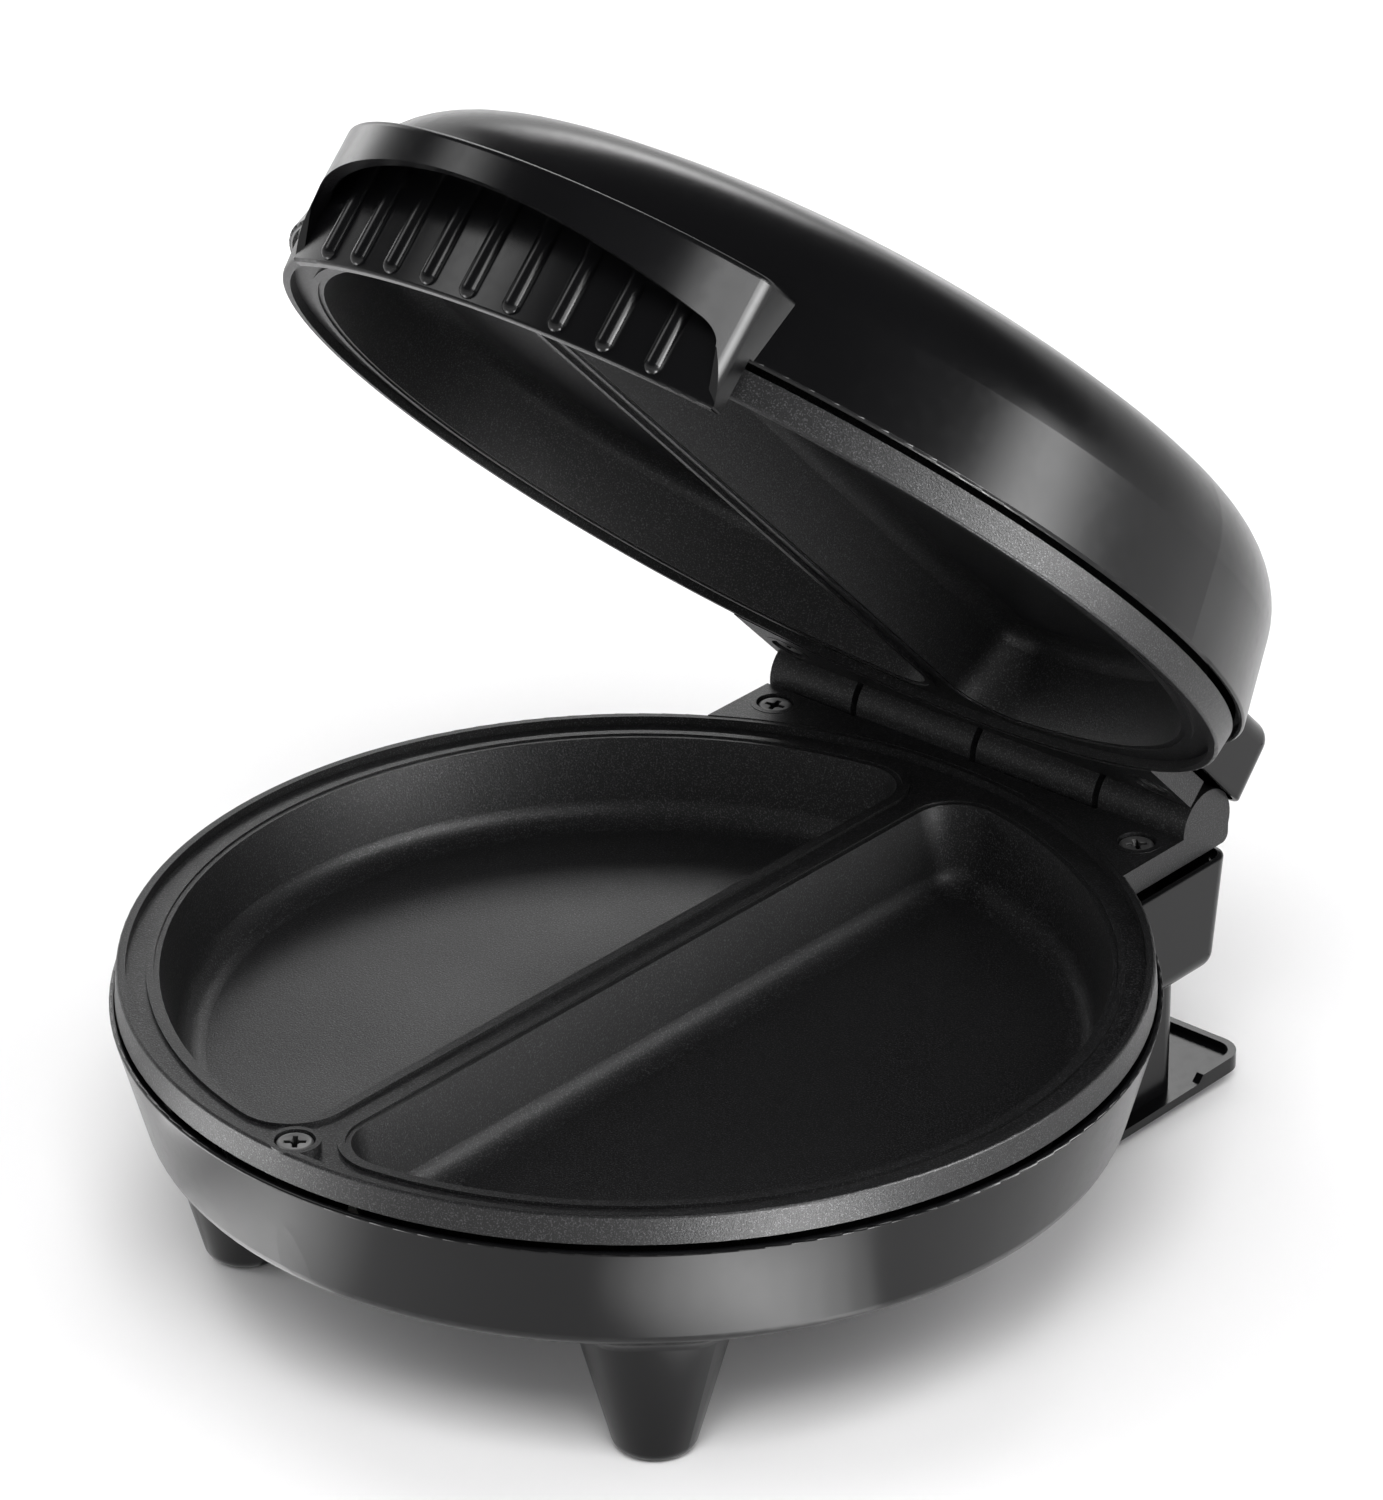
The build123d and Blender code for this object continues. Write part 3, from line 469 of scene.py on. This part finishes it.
def apply_modifier(obj: bpy.types.Object, kind: str, **settings: Any) -> None:
    """Adds a modifier and applies it.

    Args:
        obj: The object.
        kind: The modifier's type.
        settings: Its settings.
    """
    start(obj)
    made = obj.modifiers.new(kind.lower(), kind)
    for name, value in settings.items():
        setattr(made, name, value)
    bpy.ops.object.modifier_apply(modifier=made.name)


def put(obj: bpy.types.Object, matrix: Matrix) -> None:
    """Places an object and leaves its place in its mesh.

    Args:
        obj: The object.
        matrix: Where it goes.
    """
    start(obj)
    obj.matrix_world = matrix
    bpy.ops.object.transform_apply(location=True, rotation=True, scale=True)


# --------------------------------------------------------------------------- sub-assemblies
@dataclass
class PlateScrews:
    """Pan-head screws with a flared cross recess, three through each plate."""

    head_radius: float = 3.8 * MM
    head_height: float = 2.0 * MM
    head_round: float = 0.7 * MM
    dish_inset: float = 1.1 * MM
    dish_depth: float = 0.12 * MM
    shank_radius: float = 1.75 * MM
    shank_length: float = 17.7 * MM
    recess_reach: float = 3.0 * MM
    recess_width: float = 1.45 * MM
    recess_depth: float = 1.6 * MM
    recess_flare: float = 2.0 * MM
    recess_taper: float = 0.55
    recess_tip: float = 0.3 * MM
    # Gap below the dish where the recess's painted shade begins.
    painted_shade_margin: float = 0.12 * MM
    edge_break: float = 0.08 * MM
    seat_height: float = 64.6 * MM
    front_y: float = -115.5398 * MM
    rear_y: float = 88.2602 * MM
    rear_x: float = 49.7 * MM
    hinge_y: float = 103.0602 * MM
    hinge_z: float = 67.5 * MM
    rest_opening: float = 45.0
    facets: int = 48
    flare_facets: int = 24
    round_steps: int = 4
    crease_angle: float = 35.0
    smooth_angle: float = 32.0
    turns: tuple[float, float, float] = (41.0, 50.0, 12.0)

    def _head(self) -> bpy.types.Object:
        """The blank: shank, head, rounded crown and a shallow dish, before the recess is cut.

        Returns:
            The blank, seated on the origin and pointing down.
        """
        deselect()
        bpy.ops.mesh.primitive_cylinder_add(
            vertices=self.facets,
            radius=self.head_radius,
            depth=self.head_height,
            location=(0, 0, self.head_height / 2),
        )
        blank = bpy.context.active_object
        bpy.ops.object.transform_apply(location=True)
        bpy.ops.object.mode_set(mode="EDIT")
        pick_faces(blank, lambda face: face.normal.z < -0.9)
        bpy.ops.mesh.inset(thickness=self.head_radius - self.shank_radius)
        down = (0, 0, -self.shank_length)
        bpy.ops.mesh.extrude_region_move(TRANSFORM_OT_translate={"value": down})
        pick_faces(blank, lambda face: face.normal.z > 0.9)
        bpy.ops.mesh.bevel(offset=self.head_round, segments=self.round_steps, affect="EDGES")
        crown = self.head_height - 0.01 * MM
        pick_faces(
            blank, lambda face: face.normal.z > 0.99 and face.calc_center_median().z > crown
        )
        bpy.ops.mesh.inset(thickness=self.dish_inset - self.head_round)
        bpy.ops.transform.translate(value=(0, 0, -self.dish_depth))
        bpy.ops.object.mode_set(mode="OBJECT")
        return blank

    def _bar(self, turn: float) -> bpy.types.Object:
        """One tapered bar of the recess cutter.

        Args:
            turn: Its angle about the screw's axis, in degrees.

        Returns:
            The bar.
        """
        deselect()
        depth = 2 * self.recess_depth
        bpy.ops.mesh.primitive_cube_add(size=1.0, location=(0, 0, self.head_height))
        bar = bpy.context.active_object
        bar.scale = (2 * self.recess_reach, self.recess_width, depth)
        bar.rotation_euler = (0, 0, math.radians(turn))
        bpy.ops.object.transform_apply(location=True, rotation=True, scale=True)
        bpy.ops.object.mode_set(mode="EDIT")
        pick_faces(bar, lambda face: face.normal.z < -0.9)
        taper = (self.recess_taper, self.recess_taper, 1.0)
        bpy.ops.transform.resize(value=taper, center_override=(0, 0, self.head_height - depth / 2))
        bpy.ops.object.mode_set(mode="OBJECT")
        return bar

    def _cone(self) -> bpy.types.Object:
        """The flared middle of the recess cutter.

        Returns:
            The cone, point down.
        """
        deselect()
        bpy.ops.mesh.primitive_cone_add(
            vertices=self.flare_facets,
            radius1=self.recess_tip,
            radius2=self.recess_flare,
            depth=2 * self.recess_depth,
            location=(0, 0, self.head_height),
        )
        bpy.ops.object.transform_apply(location=True)
        return bpy.context.active_object

    def _mark_recess(self, screw: bpy.types.Object) -> None:
        """Marks the faces inside the recess, which get painted shade.

        Args:
            screw: The screw, on the origin.
        """
        mesh = screw.data
        marks = mesh.color_attributes.new(RECESS_MARK, "FLOAT_COLOR", "CORNER")
        mouth = self.head_height - self.dish_depth - self.painted_shade_margin
        floor = self.head_height - 1.1 * self.recess_depth
        # Painted shade: faces from the dish down to just below the recess floor, within its reach,
        # are marked to be darkened.
        for face in mesh.polygons:
            reach = math.hypot(face.center.x, face.center.y)
            inside = floor < face.center.z < mouth and reach < self.recess_reach
            for corner in face.loop_indices:
                marks.data[corner].color = grey(float(inside))

    def _master(self) -> bpy.types.Object:
        """The finished screw, on the origin.

        Returns:
            The screw that the others are copied from.
        """
        master = self._head()
        for cutter in (self._bar(0.0), self._bar(90.0), self._cone()):
            apply_modifier(master, "BOOLEAN", operation="DIFFERENCE", object=cutter, solver="EXACT")
            bpy.data.objects.remove(cutter)
        crease = math.radians(self.crease_angle)
        apply_modifier(master, "BEVEL", width=self.edge_break, segments=2, angle_limit=crease)
        self._mark_recess(master)
        start(master)
        bpy.ops.object.shade_smooth_by_angle(angle=math.radians(self.smooth_angle))
        return master

    def _places(self) -> dict[str, Matrix]:
        """Where each screw of the lower plate goes.

        Returns:
            Screw name to its place and turn.
        """
        spots = {
            "front": (0.0, self.front_y, self.turns[0]),
            "right": (self.rear_x, self.rear_y, self.turns[1]),
            "left": (-self.rear_x, self.rear_y, self.turns[2]),
        }
        places = {}
        for side, (x, y, turn) in spots.items():
            twist = Matrix.Rotation(math.radians(turn), 4, "Z")
            places[side] = Matrix.Translation((x, y, self.seat_height)) @ twist
        return places

    def _to_lid(self) -> Matrix:
        """Carries a lower screw's place to the open lid's plate.

        Returns:
            The half turn about the hinge line that closes the plates, then the opening at rest.
        """
        hinge = Vector((0, self.hinge_y, self.hinge_z))
        upside_down = Matrix.Scale(-1.0, 4, Vector((0, 0, 1)))
        half_turn = upside_down @ Matrix.Scale(-1.0, 4, Vector((1, 0, 0)))
        opening = Matrix.Rotation(math.radians(-self.rest_opening), 4, "X")
        return Matrix.Translation(hinge) @ opening @ half_turn @ Matrix.Translation(-hinge)

    def build(self) -> None:
        """Models one screw, copies it to its six places and dresses the copies."""
        master = self._master()
        for body, plate, lift in (("base", "lower", Matrix()), ("lid", "upper", self._to_lid())):
            for side, place in self._places().items():
                screw = master.copy()
                screw.data = master.data.copy()
                screw.name = f"{plate}_plate_screw_{side}"
                bpy.context.scene.collection.objects.link(screw)
                put(screw, lift @ place)
                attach(screw, body)
                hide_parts(f"{plate}_plate_screws")
                dress(screw, Palette.DARK_SCREW)
        bpy.data.objects.remove(master)


@dataclass
class CadGroup:
    """A sub-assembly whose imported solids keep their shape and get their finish."""

    finishes: dict[str, Palette] = field(default_factory=dict)

    def build(self) -> None:
        """Dresses each of the group's nodes."""
        for name, finish in self.finishes.items():
            dress(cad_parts[name], finish)


@dataclass
class BaseUnit(CadGroup):
    """Base housing with its legs, the column that takes the cord, and their fixings."""

    finishes: dict[str, Palette] = field(
        default_factory=lambda: {
            "base_housing": Palette.HOUSING,
            "cord_winder": Palette.HOUSING,
            "cord_gland": Palette.BUSH,
            "winder_screws": Palette.STEEL,
        }
    )


@dataclass
class LidUnit(CadGroup):
    """Lid housing with its grip and the two indicator lamps."""

    finishes: dict[str, Palette] = field(
        default_factory=lambda: {
            "lid_housing": Palette.HOUSING,
            "handle": Palette.HOUSING,
            "handle_screws": Palette.STEEL,
            "lamp_lens_right": Palette.GREEN_LENS,
            "lamp_lens_left": Palette.RED_LENS,
            "lamp_bulb_right": Palette.BULB,
            "lamp_bulb_left": Palette.BULB,
        }
    )


@dataclass
class PlatePair(CadGroup):
    """Both cooking plates, the pin that joins them and their screws."""

    screws: PlateScrews = field(default_factory=PlateScrews)
    finishes: dict[str, Palette] = field(
        default_factory=lambda: {
            "lower_plate": Palette.PLATE,
            "upper_plate": Palette.PLATE,
            "hinge_pin": Palette.STEEL,
        }
    )

    def build(self) -> None:
        """Dresses the plates and their pin, then makes the screws."""
        super().build()
        self.screws.build()


@dataclass
class HeatingWorks(CadGroup):
    """Elements, shields and controls inside the housings."""

    finishes: dict[str, Palette] = field(
        default_factory=lambda: {
            "lower_element": Palette.SHEATH,
            "upper_element": Palette.SHEATH,
            "lower_element_beads": Palette.CERAMIC,
            "upper_element_beads": Palette.CERAMIC,
            "lower_shield": Palette.SHEET,
            "upper_shield": Palette.SHEET,
            "lower_shield_screws": Palette.STEEL,
            "upper_shield_screws": Palette.STEEL,
            "thermostat": Palette.PHENOLIC,
            "thermostat_tabs": Palette.BRASS,
            "thermal_fuse": Palette.CERAMIC,
            "fuse_strap": Palette.STEEL,
            "terminal_block": Palette.PALE,
            "terminal_screws": Palette.BRASS,
            "internal_leads": Palette.SLEEVE,
        }
    )


# --------------------------------------------------------------------------- studio
def direction(azimuth: float, elevation: float) -> Vector:
    """Unit vector from the appliance towards a bearing.

    Args:
        azimuth: 0 is in front of the appliance, 90 to its right, in degrees.
        elevation: Above the horizon, in degrees.

    Returns:
        The vector.
    """
    a, e = math.radians(azimuth), math.radians(elevation)
    return Vector((math.sin(a) * math.cos(e), -math.cos(a) * math.cos(e), math.sin(e)))


class Role(Enum):
    """What a lamp does: light the matt surfaces, or show in the glossy ones."""

    FILL = "fill"
    GLINT = "glint"


@dataclass
class SoftBox:
    """One rectangular soft light, aimed at the appliance and brightest in its middle."""

    name: str
    role: Role
    azimuth: float
    elevation: float
    distance: float
    width: float
    height: float
    brightness: float
    layers: int = 1
    layer_step: float = 0.5 * MM

    def lamp(self, layer: int) -> bpy.types.Object:
        """Adds the lamp of one layer; each layer is smaller than the last.

        Args:
            layer: The layer's number, from 0.

        Returns:
            The lamp, not yet placed.
        """
        share = (self.layers - layer) / self.layers
        name = f"{self.name}_{layer + 1}"
        light = bpy.data.lights.new(name, "AREA")
        light.shape = "RECTANGLE"
        light.size = self.width * share
        light.size_y = self.height * share
        light.energy = self.brightness / self.layers * math.pi * light.size * light.size_y
        obj = bpy.data.objects.new(name, light)
        obj.visible_camera = False
        obj.visible_glossy = self.role is Role.GLINT
        obj.visible_diffuse = self.role is Role.FILL
        bpy.context.scene.collection.objects.link(obj)
        return obj

    def build(self, target: Vector) -> None:
        """Adds the lamps, aimed at a point.

        Args:
            target: The point that they look at.
        """
        towards = direction(self.azimuth, self.elevation)
        for layer in range(self.layers):
            obj = self.lamp(layer)
            obj.location = target + towards * (self.distance - layer * self.layer_step)
            obj.rotation_euler = (-towards).to_track_quat("-Z", "Y").to_euler()
        LOG.info("lamp %s", self.name)


@dataclass
class BounceCard(SoftBox):
    """A low soft light that lies beside the base, turned to a heading, and shines straight up."""

    heading: float = 0.0
    level: float = 1.0 * MM

    def build(self, target: Vector) -> None:
        """Adds the lamps of the card, stacked just above the floor.

        Args:
            target: The point above the body's centre.
        """
        spot = direction(self.azimuth, 0.0) * self.distance
        for layer in range(self.layers):
            obj = self.lamp(layer)
            height = self.level + layer * self.layer_step
            obj.location = (spot.x, target.y + spot.y, height)
            obj.rotation_euler = (math.pi, 0, math.radians(self.heading))
        LOG.info("card %s", self.name)


@dataclass
class Studio:
    """Camera, pale floor, surround and soft lights."""

    azimuth: float = 40.9
    elevation: float = 27.37
    roll: float = -0.25
    distance: float = 1.5042
    shift_right: float = 0.01108
    shift_up: float = 0.09999
    focal: float = 7210.5 / 1500.0
    sensor_width: float = 36.0
    body_axis_y: float = -14.5398 * MM
    aim_height: float = 0.1
    floor_size: float = 8.0
    floor_level: float = -0.2 * MM
    floor_shade: Colour = (0.93, 0.925, 0.93, 1.0)
    floor_tone: Colour = (0.95, 0.945, 0.95, 1.0)
    floor_roughness: float = 0.9
    clear_from: float = 0.125
    clear_to: float = 0.50
    near_lift: float = 0.24
    wall_top: float = 0.17
    wall_fade: float = 0.42
    wall_level: float = 1.0
    roof_level: float = 0.12
    ring_count: int = 6
    ring_start: float = 20.0
    ring_elevation: float = 40.0
    ring_distance: float = 2.0
    ring_size: float = 0.8
    ring_brightness: float = 2.7
    lights: list[SoftBox] = field(
        default_factory=lambda: [
            SoftBox("overhead_fill", Role.FILL, 0.0, 90.0, 1.6, 0.60, 0.60, 3.0),
            SoftBox("front_fill", Role.FILL, 41.0, 52.0, 2.0, 0.90, 0.90, 10.0),
            SoftBox("right_glint", Role.GLINT, 102.0, 12.0, 1.0, 0.66, 0.75, 34.0, 5),
            SoftBox("rear_glint", Role.GLINT, -142.0, 28.0, 1.5, 0.90, 0.44, 7.0, 4),
            SoftBox("grip_glint", Role.GLINT, 76.0, 33.0, 1.0, 0.32, 0.30, 14.0, 3),
            SoftBox("panel_glint", Role.GLINT, -54.0, 46.0, 1.0, 0.44, 0.32, 6.5, 4),
            SoftBox("left_glint", Role.GLINT, -104.0, 14.0, 1.0, 0.34, 0.60, 3.0, 3),
            BounceCard(
                "right_near_card", Role.GLINT, 57.0, 0.0, 0.131, 0.090, 0.045, 10.0, 5, heading=75.0
            ),
            BounceCard(
                "left_near_card", Role.GLINT, -17.0, 0.0, 0.128, 0.120, 0.06, 2.4, 5, heading=-72.0
            ),
            BounceCard(
                "right_far_card", Role.GLINT, 66.5, 0.0, 0.262, 0.130, 0.14, 54.0, 5, heading=73.0
            ),
            BounceCard(
                "left_far_card", Role.GLINT, -30.0, 0.0, 0.224, 0.170, 0.14, 13.0, 5, heading=-53.0
            ),
        ]
    )

    def ring(self) -> list[SoftBox]:
        """The even ring of fill lights all round.

        Returns:
            The lights.
        """
        step = 360.0 / self.ring_count
        size, level = self.ring_size, self.ring_brightness
        return [
            SoftBox(
                f"ring_fill_{index}",
                Role.FILL,
                self.ring_start + index * step,
                self.ring_elevation,
                self.ring_distance,
                size,
                size,
                level,
            )
            for index in range(self.ring_count)
        ]

    def camera(self) -> None:
        """Adds the camera at the product view."""
        back = direction(self.azimuth, self.elevation)
        right = back.cross(Vector((0, 0, 1))).normalized() * -1
        up = back.cross(right)
        angle = math.radians(self.roll)
        rolled_right = math.cos(angle) * right + math.sin(angle) * up
        rolled_up = math.cos(angle) * up - math.sin(angle) * right
        place = Vector((0, self.body_axis_y, 0)) + back * self.distance
        place += rolled_right * self.shift_right + rolled_up * self.shift_up
        lens = bpy.data.cameras.new("product_camera")
        lens.sensor_width = self.sensor_width
        lens.lens = self.focal * lens.sensor_width
        obj = bpy.data.objects.new("product_camera", lens)
        turn = Matrix((rolled_right, rolled_up, back)).transposed().to_4x4()
        obj.matrix_world = Matrix.Translation(place) @ turn
        bpy.context.scene.collection.objects.link(obj)
        bpy.context.scene.camera = obj
        LOG.info("camera at %s", tuple(round(v, 4) for v in place))

    def floor(self) -> None:
        """Adds the pale floor: it keeps the appliance's shadow and clears to white further out."""
        deselect()
        bpy.ops.mesh.primitive_plane_add(size=self.floor_size, location=(0, 0, self.floor_level))
        plane = bpy.context.active_object
        plane.name = "studio_floor"
        made = bpy.data.materials.new("pale_floor")
        made.use_nodes = True
        graph = Graph(made.node_tree)
        tint = graph.blend(graph.noise(3.0, 2.0), self.floor_shade, self.floor_tone)
        length = {"operation": "LENGTH"}
        out = graph.node("ShaderNodeVectorMath", length, {0: graph.place()}, "Value")
        ray = graph.node("ShaderNodeLightPath", {}, {}, "Is Camera Ray")
        for mirrored in ("Is Glossy Ray", "Is Transmission Ray"):
            ray = ray + graph.node("ShaderNodeLightPath", {}, {}, mirrored)
        near = out.ramp(self.clear_from, self.clear_to, 0.0, self.near_lift)
        far = out.ramp(self.clear_to, self.floor_size / 3, 0.0, 1.0 - self.near_lift)
        seen = ray.ramp(0.0, 1.0) * (near + far)
        white = graph.blend(seen, grey(0.0), grey(1.0))
        graph.surface(
            Base_Color=tint,
            Roughness=self.floor_roughness,
            Emission_Color=white,
            Emission_Strength=1.0,
        )
        plane.data.materials.append(made)

    def surround(self) -> None:
        """Makes the world: a pale wall all round that fades to a dark roof."""
        world = bpy.data.worlds.new("studio_world")
        bpy.context.scene.world = world
        world.use_nodes = True
        graph = Graph(world.node_tree)
        bearing = graph.node("ShaderNodeTexCoord", {}, {}, "Generated")
        height = graph.node("ShaderNodeSeparateXYZ", {}, {0: bearing}, "Z")
        level = height.ramp(self.wall_top, self.wall_fade, self.wall_level, self.roof_level)
        glow = {"Color": grey(1.0), "Strength": level}
        light = graph.node("ShaderNodeBackground", {}, glow, "Background")
        graph.node("ShaderNodeOutputWorld", {}, {"Surface": light})

    def build(self) -> None:
        """Sets up the whole studio."""
        bpy.context.scene.view_settings.view_transform = "Standard"
        self.camera()
        self.floor()
        self.surround()
        target = Vector((0, self.body_axis_y, self.aim_height))
        for light in (*self.ring(), *self.lights):
            light.build(target)


def main() -> None:
    """Builds the studio and every sub-assembly in order."""
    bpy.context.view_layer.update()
    Studio().build()
    for unit in (BaseUnit(), LidUnit(), PlatePair(), HeatingWorks()):
        LOG.info("-- %s", type(unit).__name__)
        unit.build()


if __name__ == "__main__":
    main()
